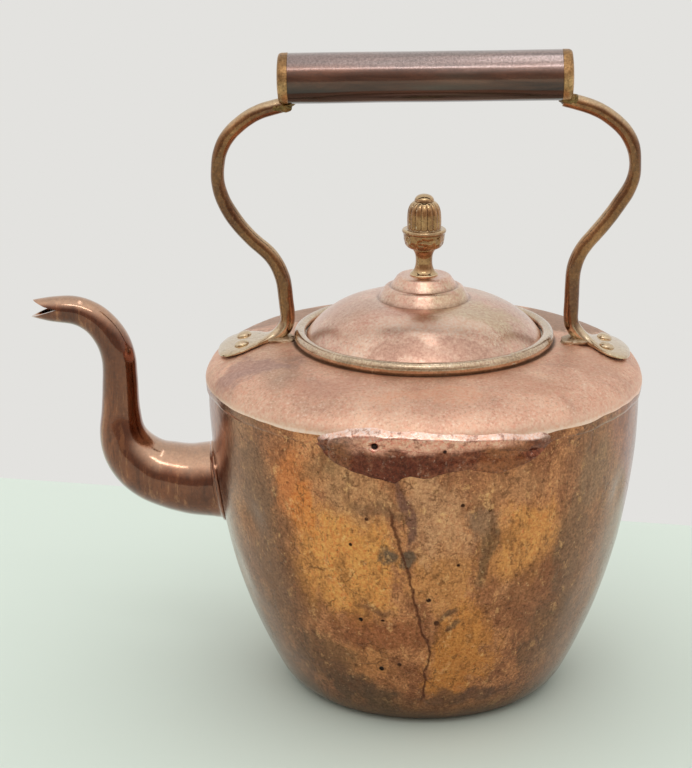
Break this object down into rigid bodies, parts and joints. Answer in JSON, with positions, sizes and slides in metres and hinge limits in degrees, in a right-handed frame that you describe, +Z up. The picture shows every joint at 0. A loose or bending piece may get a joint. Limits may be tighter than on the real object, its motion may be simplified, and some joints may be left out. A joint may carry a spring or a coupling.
{
  "type": "copper kettle",
  "caption": "Free-standing copper range kettle: tapered pot, gooseneck spout with an open beak, riveted bail handle with a tubular grip, and a lift-off domed lid with an acorn finial.",
  "frame": {"origin": "centre of the flat underside of the base, on the surface the kettle stands on", "axes": "+Z up along the pot's axis; the spout points along -X; the handle stands in the XZ plane; the front of the picture faces -Y"},
  "size_m": [0.2752, 0.1981, 0.2912],
  "materials": {
    "copper_wall": "aged copper, worn polish with brown and purple stains",
    "copper_shoulder": "hand-planished copper, dull pink oxide",
    "copper_patch": "soldered copper repair, hammered",
    "copper_spout": "drawn copper tube, handled polish",
    "copper_grip": "rolled copper tube, dark brown tarnish",
    "copper_lid": "spun copper, satin pink",
    "brass_ring": "turned brass, worn bright",
    "brass_arms": "forged brass rod, brown tarnish",
    "brass_finial": "cast and turned brass, bright on the high spots"
  },
  "bodies": {
    "kettle": {"base_pan": "copper_wall", "body_wall": "copper_wall", "shoulder": "copper_shoulder", "seam_patch": "copper_patch", "mouth_ring": "brass_ring", "spout": "copper_spout", "spout_collar": "copper_spout", "spout_side_arm": "brass_arms", "rear_arm": "brass_arms", "spout_side_rivets": "brass_arms", "rear_rivets": "brass_arms", "grip_tube": "copper_grip", "spout_side_cap": "brass_ring", "rear_cap": "brass_ring"},
    "lid": {"lid_dome": "copper_lid", "lid_skirt": "copper_lid", "finial": "brass_finial", "finial_washer": "brass_finial", "finial_nut": "brass_finial"}
  },
  "joints": [
    {"name": "lid_lift", "type": "slide", "parent": "kettle", "child": "lid", "axis": [0, 0, 1], "range_m": [0, 0.038]}
  ]
}
